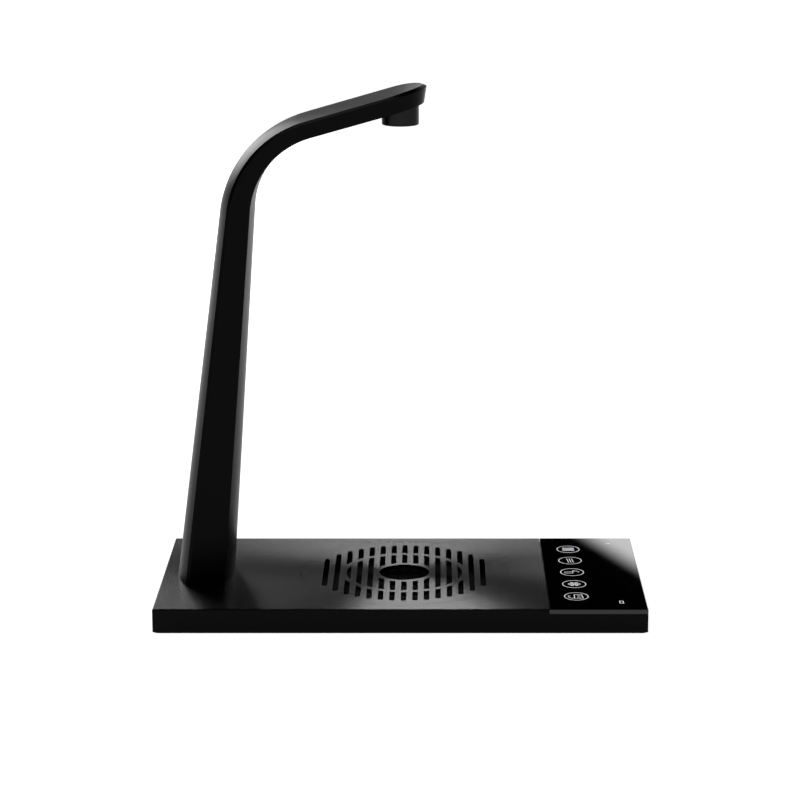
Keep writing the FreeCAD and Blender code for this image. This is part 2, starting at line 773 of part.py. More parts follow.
def foot_bosses():
    blocks = []
    for x, y in foot_screw_places:
        outward = math.copysign(neck_rear_half, y)
        y0, y1 = sorted((y - math.copysign(foot_boss_width / 2, y), outward))
        blocks.append(box(x - foot_boss_width / 2, x + foot_boss_width / 2, y0, y1,
                          base_height + foot_gasket, base_height + foot_boss_height))
    return [block.common(neck_outer) for block in blocks]


def neck_shell():
    shell = neck_outer.cut(neck_inner).cut(hatch_tool(0))
    rear = hatch_screw_along[0]
    posts = [arm_place(Part.makeCylinder(hatch_boss_radius, 2 * arm_depth,
                                         V(rear, side * hatch_screw_y, hatch_under + neck_wall)))
             for side in (-1, 1)]
    shell = joined([shell] + [post.common(neck_outer) for post in posts] + foot_bosses())
    holes = hatch_screw_shapes(screw_hole, True)
    holes += [disc(neck_screw[0] + thread_gap, x, y, base_height,
                   skin_under - clamp_thickness + neck_screw[3] + seat_gap) for x, y in foot_screw_places]
    holes.append(disc(nozzle_radius + body_gap, nozzle_x, 0, outlet_z, arm_middle.z))
    return shell.cut(holes)


def arm_hatch():
    plate = neck_outer.cut(neck_inner).common(hatch_tool(panel_gap))
    return plate.cut(hatch_screw_shapes(screw_hole))


def hatch_screws():
    return Part.makeCompound(hatch_screw_shapes(screw))


def foot_gasket_sheet():
    slab = box(foot_rear_x - neck_depth, foot_front_x + neck_depth, -neck_rear_half, neck_rear_half,
               base_height, base_height + foot_gasket)
    sheet = slab.common(neck_seat)
    holes = [disc(neck_screw[0] + seat_gap, x, y, base_height, base_height + foot_gasket)
             for x, y in foot_screw_places]
    return sheet.cut(holes + [tube_clearance()])


def clamp_outline():
    return (foot_rear_x - clamp_margin, foot_front_x + clamp_margin,
            -neck_rear_half, neck_rear_half)


def clamp_plate():
    x0, x1, y0, y1 = clamp_outline()
    plate = rounded_box(x0, x1, y0, y1, skin_under - clamp_thickness, skin_under, clamp_margin)
    low = skin_under - clamp_thickness
    holes = [disc(neck_screw[0] + seat_gap, x, y, low, skin_under) for x, y in foot_screw_places]
    holes += [disc(inlet_screw[0] + thread_gap, x, y, low, skin_under) for x, y in inlet_screw_places]
    return plate.cut(holes + [tube_clearance()])


def neck_screws():
    return Part.makeCompound([pan_screw(neck_screw, x, y, skin_under - clamp_thickness)
                              for x, y in foot_screw_places])


def inlet_block():
    top = skin_under - clamp_thickness
    block = box(tube_x - inlet_half_width, tube_x + inlet_half_width, -inlet_half_length,
                inlet_half_length, base_under, top)
    heads = [disc(neck_screw[1] + body_gap, x, y, top - neck_screw[2] - body_gap, top)
             for x, y in foot_screw_places]
    ports = []
    for y, radius, bore in tubes.values():
        ports += [disc(inlet_thread, tube_x, y, base_under, base_under + inlet_thread_depth),
                  disc(bore, tube_x, y, base_under, tube_low),
                  disc(radius + thread_gap, tube_x, y, tube_low, top)]
    screws = [screw_hole(inlet_screw, x, y, base_under) for x, y in inlet_screw_places]
    return block.cut(heads + ports + screws)


def inlet_screws():
    return Part.makeCompound([screw(inlet_screw, x, y, base_under) for x, y in inlet_screw_places])


def tube_spacers():
    """Three moulded spacers that hold the tubes apart in the column and the arm."""
    slabs = []
    for height in spacer_heights:
        middle = base_height + height * (front_edge.bend_start.z - base_height)
        slabs.append(box(-end_x, nozzle_x, -side_y, side_y, middle - spacer_thickness / 2,
                         middle + spacer_thickness / 2))
    start = (hatch_screw_along[0] + hatch_screw_along[1]) / 2 - spacer_thickness / 2
    slabs.append(arm_place(box(start, start + spacer_thickness, -side_y, side_y, -arm_depth, arm_depth)))
    routes = tube_clearance()
    return Part.makeCompound([slab.common(neck_seat).cut(routes) for slab in slabs])


# ---------------------------------------------------------------- nozzle
sleeve_top = outlet_z + sleeve_length
insert_low = outlet_z + nozzle_lip
insert_top = insert_low + insert_length
spigot_low = insert_top + washer_thickness
thread_radius = nozzle_radius - nozzle_wall
lip_radius = thread_radius - nozzle_ledge


def nozzle_manifold():
    """Joins the three tubes to the outlet: a block in the arm's tip with a threaded spigot."""
    block = arm_place(box(-manifold_back, manifold_front, -manifold_half_width, manifold_half_width,
                          -arm_depth, tube_lift + manifold_rise))
    block = block.common(neck_seat)
    block = block.cut(disc(nozzle_radius + body_gap, nozzle_x, 0, outlet_z, sleeve_top + body_gap))
    spigot = disc(thread_radius - running_gap, nozzle_x, 0, spigot_low, arm_middle.z + tube_lift)
    body = joined([block, spigot])
    cuts = hatch_screw_shapes(screw_hole)
    for across, radius, bore in tubes.values():
        inward = math.copysign(channel_pitch, across) if across else 0.0
        seat_end = arm_point(-manifold_back + tube_seat, across, tube_lift)
        above = arm_point(0, inward, tube_lift)
        below = V(above.x, above.y, spigot_low)
        cuts += [rod(radius + thread_gap, arm_point(-manifold_back, across, tube_lift), seat_end),
                 rod(channel_radius, seat_end, above), rod(channel_radius, above, below)]
    return body.cut(cuts)


def nozzle_sleeve():
    bevel = nozzle_edge
    return turned([(lip_radius, outlet_z), (nozzle_radius - bevel, outlet_z),
                   (nozzle_radius, outlet_z + bevel), (nozzle_radius, sleeve_top),
                   (thread_radius, sleeve_top), (thread_radius, insert_low), (lip_radius, insert_low)],
                  nozzle_x, 0)


def nozzle_insert():
    body = disc(thread_radius - running_gap, nozzle_x, 0, insert_low, insert_top)
    holes = [disc(insert_hole, nozzle_x, 0, insert_low, insert_top)]
    for ring, count in ((insert_inner_ring, insert_inner_holes), (insert_ring, insert_ring_holes)):
        for step in range(count):
            angle = 2 * math.pi * step / count
            holes.append(disc(insert_hole, nozzle_x + ring * math.cos(angle), ring * math.sin(angle),
                              insert_low, insert_top))
    return body.cut(holes)


def nozzle_washer():
    outer = thread_radius - running_gap
    return tube(outer, outer - washer_width, nozzle_x, 0, insert_top, spigot_low - thread_gap)


# ---------------------------------------------------------------- all the pieces
pieces = {
    "base_shell": base_shell,
    "base_cover": base_cover,
    "base_seal": base_seal,
    "cover_screws": cover_screws,
    "mount_bushes": mount_bushes,
    "drip_grille": drip_grille,
    "locating_pin": locating_pin,
    "drip_bowl": drip_bowl,
    "bowl_seal": bowl_seal,
    "drain_strainer": drain_strainer,
    "drain_socket": drain_socket,
    "glass_panel": glass_panel,
    "panel_tape": panel_tape,
    "touch_board": touch_board,
    "key_diffusers": key_diffusers,
    "key_leds": key_leds,
    "board_chips": board_chips,
    "board_connector": board_connector,
    "board_screws": board_screws,
    "cable_grommet": cable_grommet,
    "neck_shell": neck_shell,
    "arm_hatch": arm_hatch,
    "hatch_screws": hatch_screws,
    "foot_gasket": foot_gasket_sheet,
    "clamp_plate": clamp_plate,
    "neck_screws": neck_screws,
    "inlet_block": inlet_block,
    "inlet_screws": inlet_screws,
    "tube_spacers": tube_spacers,
    "nozzle_manifold": nozzle_manifold,
    "nozzle_sleeve": nozzle_sleeve,
    "nozzle_insert": nozzle_insert,
    "nozzle_washer": nozzle_washer,
}

os.makedirs("parts", exist_ok=True)
for name, make in pieces.items():
    make().exportStep("parts/" + name + ".step")
for name, (across, radius, bore) in tubes.items():
    shape = water_tube(across, radius, bore)
    length = rounded_route(tube_route, (tube_foot_bend, tube_bend)).Length
    expected = math.pi * (radius ** 2 - bore ** 2) * length
    print(name, "volume over section times length:", round(shape.Volume / expected, 4))
    shape.exportStep("parts/" + name + ".step")
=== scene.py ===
import math

import bmesh
import bpy
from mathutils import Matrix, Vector


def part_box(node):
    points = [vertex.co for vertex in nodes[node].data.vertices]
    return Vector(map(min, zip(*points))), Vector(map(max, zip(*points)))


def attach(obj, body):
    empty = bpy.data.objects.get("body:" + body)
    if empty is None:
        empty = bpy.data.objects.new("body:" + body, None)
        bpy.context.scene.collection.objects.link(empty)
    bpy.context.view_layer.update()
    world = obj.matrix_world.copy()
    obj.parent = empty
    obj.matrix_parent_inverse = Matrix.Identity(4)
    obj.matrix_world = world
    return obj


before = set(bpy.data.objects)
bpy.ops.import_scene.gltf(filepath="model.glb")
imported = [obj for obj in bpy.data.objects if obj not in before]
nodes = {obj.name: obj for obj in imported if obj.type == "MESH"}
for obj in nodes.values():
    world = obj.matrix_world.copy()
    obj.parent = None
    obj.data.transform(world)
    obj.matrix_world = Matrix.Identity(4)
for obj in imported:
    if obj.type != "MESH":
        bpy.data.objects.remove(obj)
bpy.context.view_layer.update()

# A worktop tap for boiling, chilled and sparkling water, dressed over its CAD frame.
# Metres. +X points to the touch panel, +Y across the base, +Z up.

MM = 0.001

# ---------------------------------------------------------------- places on the tap
def middle_x(node):
    low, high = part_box(node)
    return (low.x + high.x) / 2


BASE_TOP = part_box("glass_panel")[1].z
TRAY_X = middle_x("drip_grille")
KEY_X = middle_x("key_diffusers")
KEY_PITCH = 28.1 * MM
KEY_COUNT = 5
INK = 0.03 * MM          # thickness of the print on the glass


# ---------------------------------------------------------------- shader groups
def socket(group, name, kind, way, value=None):
    made = group.interface.new_socket(name=name, in_out=way, socket_type=kind)
    if value is not None:
        made.default_value = value
    return made


def math_node(tree, operation, first, second=None, third=None):
    node = tree.nodes.new("ShaderNodeMath")
    node.operation = operation
    for place, value in zip(node.inputs, (first, second, third)):
        if hasattr(value, "is_output"):
            tree.links.new(value, place)
        elif value is not None:
            place.default_value = value
    return node.outputs[0]


def noise(tree, vector, scale, detail, roughness=0.5):
    node = tree.nodes.new("ShaderNodeTexNoise")
    node.inputs["Scale"].default_value = scale
    node.inputs["Detail"].default_value = detail
    node.inputs["Roughness"].default_value = roughness
    tree.links.new(vector, node.inputs["Vector"])
    return node.outputs["Fac"]


def ramp(tree, value, stops):
    node = tree.nodes.new("ShaderNodeValToRGB")
    while len(node.color_ramp.elements) < len(stops):
        node.color_ramp.elements.new(0.5)
    for element, (place, colour) in zip(node.color_ramp.elements, stops):
        element.position = place
        element.color = (*colour, 1) if len(colour) == 3 else colour
    tree.links.new(value, node.inputs["Fac"])
    return node.outputs["Color"]


def set_values(node, **values):
    """Puts values in a node's sockets, each named with _ in place of a space."""
    for name, value in values.items():
        node.inputs[name.replace("_", " ")].default_value = value


def grain_group():
    """Fine blasted grain: a height for a bump, and a slow mottling of colour and gloss."""
    grain_detail, mottles_per_metre, mottle_detail = 2.0, 38.0, 3.0
    group = bpy.data.node_groups.new("fine_grain", "ShaderNodeTree")
    socket(group, "Vector", "NodeSocketVector", "INPUT")
    socket(group, "Grain per metre", "NodeSocketFloat", "INPUT", 4000.0)
    socket(group, "Colour", "NodeSocketColor", "INPUT", (0.02, 0.02, 0.02, 1))
    socket(group, "Roughness", "NodeSocketFloat", "INPUT", 0.4)
    socket(group, "Mottle", "NodeSocketFloat", "INPUT", 0.15)
    socket(group, "Colour", "NodeSocketColor", "OUTPUT")
    socket(group, "Roughness", "NodeSocketFloat", "OUTPUT")
    socket(group, "Height", "NodeSocketFloat", "OUTPUT")
    enter = group.nodes.new("NodeGroupInput")
    leave = group.nodes.new("NodeGroupOutput")
    fine = group.nodes.new("ShaderNodeTexNoise")
    fine.inputs["Detail"].default_value = grain_detail
    group.links.new(enter.outputs["Vector"], fine.inputs["Vector"])
    group.links.new(enter.outputs["Grain per metre"], fine.inputs["Scale"])
    slow = noise(group, enter.outputs["Vector"], mottles_per_metre, mottle_detail)
    swing = math_node(group, "SUBTRACT", slow, 0.5)
    swing = math_node(group, "MULTIPLY", swing, enter.outputs["Mottle"])
    factor = math_node(group, "ADD", swing, 1.0)
    tint = group.nodes.new("ShaderNodeVectorMath")
    tint.operation = "SCALE"
    group.links.new(enter.outputs["Colour"], tint.inputs[0])
    group.links.new(factor, tint.inputs["Scale"])
    group.links.new(tint.outputs[0], leave.inputs["Colour"])
    rough = math_node(group, "MULTIPLY", enter.outputs["Roughness"], factor)
    group.links.new(rough, leave.inputs["Roughness"])
    group.links.new(fine.outputs["Fac"], leave.inputs["Height"])
    return group


GRAIN = grain_group()


def new_material(name, **constants):
    """A material with a Principled shader, its constants set on the shader's own sockets."""
    material = bpy.data.materials.new(name)
    material.use_nodes = True
    shader = material.node_tree.nodes["Principled BSDF"]
    set_values(shader, **constants)
    return material, material.node_tree, shader


def object_coordinates(tree):
    return tree.nodes.new("ShaderNodeTexCoord").outputs["Object"]


GRAPHITE = (0.0040, 0.0040, 0.0041)
EDGE_TINT = (0.6, 0.6, 0.605, 1)     # what graphite mirrors at a glancing angle
METAL, PLAIN = 1.0, 0.0
COATING_IOR, GLASS_IOR = 1.45, 1.42
GRAIN_DEPTH = 0.1 * MM


def grained(name, colour, roughness, metallic, grain, bump, mottle, **constants):
    """A material whose colour, roughness and bump come from grain, so many to the metre."""
    material, tree, shader = new_material(name, Metallic=metallic, IOR=COATING_IOR, **constants)
    place = tree.nodes.new("ShaderNodeGroup")
    place.node_tree = GRAIN
    tree.links.new(object_coordinates(tree), place.inputs["Vector"])
    set_values(place, Grain_per_metre=grain, Colour=(*colour, 1), Roughness=roughness, Mottle=mottle)
    bumper = tree.nodes.new("ShaderNodeBump")
    set_values(bumper, Strength=bump, Distance=GRAIN_DEPTH)
    tree.links.new(place.outputs["Height"], bumper.inputs["Height"])
    tree.links.new(bumper.outputs[0], shader.inputs["Normal"])
    tree.links.new(place.outputs["Colour"], shader.inputs["Base Color"])
    tree.links.new(place.outputs["Roughness"], shader.inputs["Roughness"])
    return material


# ---------------------------------------------------------------- finishes
def turned_graphite():
    """The base and the grille: near-black metal, brushed in circles about the drip tray."""
    rings_per_metre, ring_detail, ring_sharpness = 2400.0, 3.0, 0.6
    least_share, share_swing = 0.86, 0.28        # of the roughness, from ring to ring
    material = grained("turned_graphite", GRAPHITE, 0.22, METAL, 5200.0, 0.008, 0.06, Anisotropic=0.85)
    tree = material.node_tree
    shader = tree.nodes["Principled BSDF"]
    parts = tree.nodes.new("ShaderNodeSeparateXYZ")
    tree.links.new(object_coordinates(tree), parts.inputs[0])
    outward = tree.nodes.new("ShaderNodeCombineXYZ")
    tree.links.new(math_node(tree, "SUBTRACT", parts.outputs["X"], TRAY_X), outward.inputs["X"])
    tree.links.new(parts.outputs["Y"], outward.inputs["Y"])
    tree.links.new(outward.outputs[0], shader.inputs["Tangent"])
    length = tree.nodes.new("ShaderNodeVectorMath")
    length.operation = "LENGTH"
    tree.links.new(outward.outputs[0], length.inputs[0])
    radius = tree.nodes.new("ShaderNodeCombineXYZ")
    tree.links.new(length.outputs["Value"], radius.inputs["X"])
    brushed = noise(tree, radius.outputs[0], rings_per_metre, ring_detail, ring_sharpness)
    share = math_node(tree, "MULTIPLY_ADD", brushed, share_swing, least_share)
    grain = next(node for node in tree.nodes if node.type == "GROUP")
    rough = math_node(tree, "MULTIPLY", grain.outputs["Roughness"], share)
    tree.links.new(rough, shader.inputs["Roughness"])
    return material


def panel_glass():
    """Black-backed glass with a faint haze."""
    hazes_per_metre, haze_detail = 55.0, 4.0
    black, less_black = (0.0004, 0.0004, 0.0005), (0.0008, 0.0008, 0.0010)
    clear_roughness, haze_roughness = 0.008, 0.02
    material, tree, shader = new_material("panel_glass", Metallic=PLAIN, IOR=GLASS_IOR)
    haze = noise(tree, object_coordinates(tree), hazes_per_metre, haze_detail)
    tree.links.new(ramp(tree, haze, [(0.3, black), (0.8, less_black)]), shader.inputs["Base Color"])
    rough = math_node(tree, "MULTIPLY_ADD", haze, haze_roughness, clear_roughness)
    tree.links.new(rough, shader.inputs["Roughness"])
    return material


def key_print():
    """White print, lit a little from behind, with fine specks in the ink."""
    specks_per_metre, speck_detail = 2600.0, 2.0
    dull, clean = (0.70, 0.71, 0.72), (0.82, 0.83, 0.84)
    material, tree, shader = new_material("key_print", Metallic=PLAIN, IOR=COATING_IOR,
                                          Roughness=0.45, Emission_Strength=0.22)
    speck = noise(tree, object_coordinates(tree), specks_per_metre, speck_detail)
    shade = ramp(tree, speck, [(0.2, dull), (0.7, clean)])
    tree.links.new(shade, shader.inputs["Base Color"])
    tree.links.new(shade, shader.inputs["Emission Color"])
    return material


FINISH = {
    "turned_graphite": turned_graphite(),
    "panel_glass": panel_glass(),
    "key_print": key_print(),
}
# name, colour, roughness, metal or plain, grain per metre, bump, mottle, then other constants
for row, constants in (
        (("satin_graphite", GRAPHITE, 0.36, METAL, 5200.0, 0.02, 0.10), {"Specular_Tint": EDGE_TINT}),
        (("nozzle_graphite", (0.017, 0.017, 0.0172), 0.33, METAL, 5200.0, 0.02, 0.08),
         {"Specular_Tint": EDGE_TINT}),
        (("bowl_plastic", (0.0012, 0.0012, 0.0013), 0.8, PLAIN, 2600.0, 0.05, 0.2),
         {"Specular_IOR_Level": 0.03}),
        (("inner_plastic", (0.02, 0.02, 0.022), 0.5, PLAIN, 2600.0, 0.08, 0.2), {}),
        (("soft_rubber", (0.014, 0.014, 0.015), 0.72, PLAIN, 1800.0, 0.12, 0.25), {}),
        (("clear_silicone", (0.52, 0.53, 0.52), 0.34, PLAIN, 900.0, 0.03, 0.1),
         {"Subsurface_Weight": 0.25, "Subsurface_Scale": 2 * MM}),
        (("milky_plastic", (0.74, 0.74, 0.71), 0.38, PLAIN, 1500.0, 0.04, 0.06), {}),
        (("bright_steel", (0.56, 0.56, 0.55), 0.24, METAL, 6000.0, 0.03, 0.1), {}),
        (("rolled_steel", (0.42, 0.42, 0.41), 0.42, METAL, 3000.0, 0.08, 0.2), {}),
        (("machined_brass", (0.62, 0.43, 0.18), 0.3, METAL, 4200.0, 0.05, 0.16), {}),
        (("board_green", (0.012, 0.075, 0.032), 0.4, PLAIN, 1600.0, 0.05, 0.2), {}),
        (("chip_resin", (0.018, 0.018, 0.019), 0.55, PLAIN, 5200.0, 0.1, 0.12), {}),
        (("lamp_body", (0.78, 0.72, 0.46), 0.3, PLAIN, 2500.0, 0.02, 0.08), {}),
        (("foam_tape", (0.03, 0.03, 0.032), 0.85, PLAIN, 1300.0, 0.3, 0.3), {})):
    FINISH[row[0]] = grained(*row, **constants)

NODE_FINISH = {
    "turned_graphite": ["base_shell", "drip_grille"],
    "satin_graphite": ["neck_shell", "arm_hatch", "locating_pin"],
    "nozzle_graphite": ["nozzle_sleeve"],
    "panel_glass": ["glass_panel"],
    "bowl_plastic": ["drip_bowl", "drain_strainer"],
    "inner_plastic": ["base_cover", "tube_spacers", "nozzle_insert"],
    "soft_rubber": ["base_seal", "bowl_seal", "cable_grommet", "foot_gasket", "nozzle_washer"],
    "clear_silicone": ["hot_tube", "chilled_tube", "sparkling_tube"],
    "milky_plastic": ["key_diffusers", "board_connector"],
    "bright_steel": ["cover_screws", "mount_bushes", "board_screws", "hatch_screws", "neck_screws",
                     "inlet_screws"],
    "rolled_steel": ["clamp_plate"],
    "machined_brass": ["drain_socket", "inlet_block", "nozzle_manifold"],
    "board_green": ["touch_board"],
    "chip_resin": ["board_chips"],
    "lamp_body": ["key_leds"],
    "foam_tape": ["panel_tape"],
}


def finish_nodes():
    for finish, names in NODE_FINISH.items():
        for name in names:
            for slot in nodes[name].material_slots:
                slot.material = FINISH[finish]


# ---------------------------------------------------------------- print on the glass
LINE, ROW_LINE, DROP_LINE = 0.48, 0.34, 0.44       # widths of the signs' strokes, millimetres
RING_LINE = 0.55 * MM
RING_RADIUS = 8.45 * MM
RING_STEPS = 96
SHARPEST_TURN = 0.5      # cosine of half the turn, past which a stroke's corner grows no longer


def ribbon(build, points, width, closed):
    """A flat stroke along points of the base's plan, as thick as the ink."""
    count = len(points)
    left, right = [], []
    for index, point in enumerate(points):
        before = points[index - 1] if index or closed else point
        after = points[(index + 1) % count] if index < count - 1 or closed else point
        come, go = Vector(point) - Vector(before), Vector(after) - Vector(point)
        come = come.normalized() if come.length else go.normalized()
        go = go.normalized() if go.length else come
        way = (come + go).normalized()
        stretch = 1 / max(SHARPEST_TURN, math.sqrt((1 + come.dot(go)) / 2))
        aside = Vector((-way.y, way.x)) * width / 2 * stretch
        left.append(Vector(point) + aside)
        right.append(Vector(point) - aside)
    rows = []
    for z in (0, INK):
        rows.append([[build.verts.new((p.x, p.y, z)) for p in edge] for edge in (left, right)])
    (low_l, low_r), (top_l, top_r) = rows
    spans = range(count if closed else count - 1)
    for i in spans:
        j = (i + 1) % count
        for a, b, c, d in ((top_r, top_r, top_l, top_l), (low_l, low_l, low_r, low_r),
                           (top_l, top_l, low_l, low_l), (low_r, low_r, top_r, top_r)):
            build.faces.new((a[i], b[j], c[j], d[i]))
    if not closed:
        build.faces.new((top_l[0], low_l[0], low_r[0], top_r[0]))
        build.faces.new((top_r[-1], low_r[-1], low_l[-1], top_l[-1]))


def arc(x, y, radius, start, end, steps):
    return [(x + radius * math.cos(math.radians(start + (end - start) * i / steps)),
             y + radius * math.sin(math.radians(start + (end - start) * i / steps)))
            for i in range(steps + 1)]


def circle(x, y, radius, steps):
    return arc(x, y, radius, 0, 360, steps)[:-1]


# Each sign is a list of strokes, as points, width and whether the stroke closes. It is drawn
# in millimetres from its key's middle, x along the base and y across it.
def still_sign():
    """A small field of close waving rows, as of still water."""
    rows, first, pitch, wave = 9, -3.6, 0.9, 0.25
    along = (-4.4, -1.5, 1.5, 4.4)
    lines = [first + pitch * step for step in range(rows)]
    return [([(x, y + wave * side) for x, side in zip(along, (1, -1, 1, -1))], ROW_LINE, False)
            for y in lines]


def steam_sign():
    """Three slanted lines."""
    lean, half_length, pitch = 0.5, 4.7, 1.8
    return [([(x - lean, half_length), (x + lean, -half_length)], LINE, False)
            for x in (-pitch, 0.0, pitch)]


def tap_sign():
    """A round-ended spout, its bent stem and three drops."""
    back, front, middle, half_width, steps = -4.0, -0.9, -0.8, 1.6, 12
    spout = arc(back, middle, half_width, 90, 270, steps) + arc(front, middle, half_width, -90, 90, steps)
    stem = [(0.5, -2.0), (0.6, 3.2), (1.3, 3.2)]
    drop_radius, drop_places = 0.45, ((1.9, 3.0), (3.3, 2.4), (4.6, 0.6))
    drops = [(circle(x, y, drop_radius, steps), DROP_LINE, True) for x, y in drop_places]
    return [(spout, LINE, True), (stem, LINE, False)] + drops


def snow_sign():
    """A flake of six arms, each with two pairs of barbs."""
    arms, inner, outer = 6, 0.3, 4.7
    barbs = ((2.9, 1.1), (4.2, 1.3))     # place along the arm, spread to each side
    strokes = []
    for turn in range(arms):
        angle = math.radians(360 / arms * turn)
        way = Vector((math.cos(angle), math.sin(angle)))
        aside = Vector((-math.sin(angle), math.cos(angle)))
        strokes.append(([tuple(way * inner), tuple(way * outer)], LINE, False))
        for reach, spread in barbs:
            strokes.append(([tuple(way * reach + aside * spread), tuple(way * (reach - spread)),
                             tuple(way * reach - aside * spread)], LINE, False))
    return strokes


def jug_sign():
    """A jug with a hooked handle and three level marks."""
    body = [(-1.4, -4.3), (4.7, -4.3), (4.0, 3.9), (-1.4, 3.9)]
    handle = arc(-3.9, -0.2, 1.9, 100, 225, 10) + [(-4.4, -3.6), (-1.4, -3.9)]
    level_from, level_to, pitch = 0.6, 2.9, 2.2
    levels = [([(level_from, y), (level_to, y)], ROW_LINE, False) for y in (-pitch, 0.0, pitch)]
    return [(body, LINE, True), (handle, LINE, False)] + levels


SIGNS = [jug_sign, snow_sign, tap_sign, steam_sign, still_sign]     # from the front of the base


def placed(points, x, y):
    """Points in millimetres, as metres on the base's plan, from a place in metres."""
    return [(x + along * MM, y + across * MM) for along, across in points]


def print_piece(name, strokes):
    mesh = bpy.data.meshes.new(name)
    build = bmesh.new()
    for points, width, closed in strokes:
        ribbon(build, points, width, closed)
    bmesh.ops.recalc_face_normals(build, faces=build.faces)
    bmesh.ops.translate(build, verts=build.verts, vec=(0, 0, BASE_TOP))
    build.to_mesh(mesh)
    build.free()
    mesh.materials.append(FINISH["key_print"])
    piece = bpy.data.objects.new(name, mesh)
    bpy.context.scene.collection.objects.link(piece)
    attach(piece, "base")


def make_signs():
    strokes = []
    for step, sign in enumerate(SIGNS):
        y = (step - (KEY_COUNT - 1) / 2) * KEY_PITCH
        strokes += [(placed(points, KEY_X, y), width * MM, closed) for points, width, closed in sign()]
    print_piece("key_signs", strokes)


def make_marks():
    """A small square in outline at the glass's front, and a dash at its back."""
    square, square_line = [(155.9, -71.6), (158.3, -71.6), (158.3, -66.6), (155.9, -66.6)], 0.55
    dash, dash_line = [(155.0, 70.5), (158.4, 70.5)], 1.4
    print_piece("panel_marks", [(placed(square, 0, 0), square_line * MM, True),
                                (placed(dash, 0, 0), dash_line * MM, False)])


# ---------------------------------------------------------------- repeated pieces, by geometry nodes
def new_tree(name, inputs):
    tree = bpy.data.node_groups.new(name, "GeometryNodeTree")
    socket(tree, "Geometry", "NodeSocketGeometry", "INPUT")
    for label, kind, value in inputs:
        socket(tree, label, kind, "INPUT", value)
    socket(tree, "Geometry", "NodeSocketGeometry", "OUTPUT")
    return tree, tree.nodes.new("NodeGroupInput"), tree.nodes.new("NodeGroupOutput")


def add(tree, kind, links=(), values=()):
    node = tree.nodes.new(kind)
    for place, source in links:
        tree.links.new(source, node.inputs[place])
    for place, value in values:
        node.inputs[place].default_value = value
    return node


def plain_mesh(thing, name):
    """Gives the object its evaluated shape as a plain mesh, with no modifier left."""
    graph = bpy.context.evaluated_depsgraph_get()
    mesh = bpy.data.meshes.new_from_object(thing.evaluated_get(graph))
    mesh.name = name
    thing.modifiers.clear()
    thing.data = mesh


def grown(name, tree, sizes, body):
    """An object grown by a tree with these sizes, baked to a plain mesh that rides on a body."""
    thing = bpy.data.objects.new(name, bpy.data.meshes.new(name))
    bpy.context.scene.collection.objects.link(thing)
    grower = thing.modifiers.new(name, "NODES")
    grower.node_group = tree
    for item in tree.interface.items_tree:
        if item.in_out == "INPUT" and item.name in sizes:
            grower[item.identifier] = sizes[item.name]
    plain_mesh(thing, name)
    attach(thing, body)


def key_ring_tree():
    """A row of thin printed rings, one round each key."""
    tree, enter, leave = new_tree("key_ring_row", [
        ("Count", "NodeSocketInt", KEY_COUNT), ("Pitch", "NodeSocketFloat", KEY_PITCH),
        ("Radius", "NodeSocketFloat", RING_RADIUS), ("Line", "NodeSocketFloat", RING_LINE),
        ("Height", "NodeSocketFloat", 0.0), ("Along", "NodeSocketFloat", 0.0),
        ("Ink", "NodeSocketFloat", INK), ("Material", "NodeSocketMaterial", None)])
    ring = add(tree, "GeometryNodeCurvePrimitiveCircle", [("Radius", enter.outputs["Radius"])],
               [("Resolution", RING_STEPS)])
    band = add(tree, "GeometryNodeCurvePrimitiveQuadrilateral",
               [("Width", enter.outputs["Line"]), ("Height", enter.outputs["Ink"])])
    swept = add(tree, "GeometryNodeCurveToMesh",
                [("Curve", ring.outputs[0]), ("Profile Curve", band.outputs[0])])
    less = math_node(tree, "SUBTRACT", enter.outputs["Count"], 1.0)
    run = math_node(tree, "MULTIPLY", less, enter.outputs["Pitch"])
    first = math_node(tree, "MULTIPLY", run, -0.5)
    start = add(tree, "ShaderNodeCombineXYZ", [("X", enter.outputs["Along"]), ("Y", first),
                                               ("Z", enter.outputs["Height"])])
    step = add(tree, "ShaderNodeCombineXYZ", [("Y", enter.outputs["Pitch"])])
    row = add(tree, "GeometryNodeMeshLine",
              [("Count", enter.outputs["Count"]), ("Start Location", start.outputs[0]),
               ("Offset", step.outputs[0])])
    repeats = add(tree, "GeometryNodeInstanceOnPoints",
                  [("Points", row.outputs[0]), ("Instance", swept.outputs[0])])
    real = add(tree, "GeometryNodeRealizeInstances", [("Geometry", repeats.outputs[0])])
    inked = add(tree, "GeometryNodeSetMaterial", [("Geometry", real.outputs[0]),
                                                  ("Material", enter.outputs["Material"])])
    tree.links.new(inked.outputs[0], leave.inputs[0])
    return tree


def make_key_rings():
    grown("key_rings", key_ring_tree(),
          {"Count": KEY_COUNT, "Pitch": KEY_PITCH, "Radius": RING_RADIUS, "Line": RING_LINE,
           "Height": BASE_TOP + INK / 2, "Along": KEY_X, "Ink": INK, "Material": FINISH["key_print"]},
          "base")


# ---------------------------------------------------------------- studio
LAMP_DISTANCE = 2.2
AIM = Vector((0, 0, 0.1))
FLOOR_REACH = 16
FLOOR_COLOUR = (0.8, 0.8, 0.8, 1)
LIT_REACH, PLAIN_REACH = 0.5, 3.5          # metres from the tap, within and past which the glow is even
LIT_GLOW, PLAIN_GLOW = 0.68, 1.0
ROOM_LIGHT = 0.05

# The card stands behind the tap and out of the picture, so that the glass mirrors its corner.
CARD_Y = 2.0
CARD_LEFT, CARD_RIGHT, CARD_LOW, CARD_HIGH = 0.165, 0.46, 0.56, 0.78
CARD_EDGE = ((0.2700, 0.6077), (0.3449, 0.6540))      # two places, x and z, on the card's soft edge
CARD_GLOW, CARD_SOFT = 2.8, 0.018                     # strength, and half the edge's width in metres

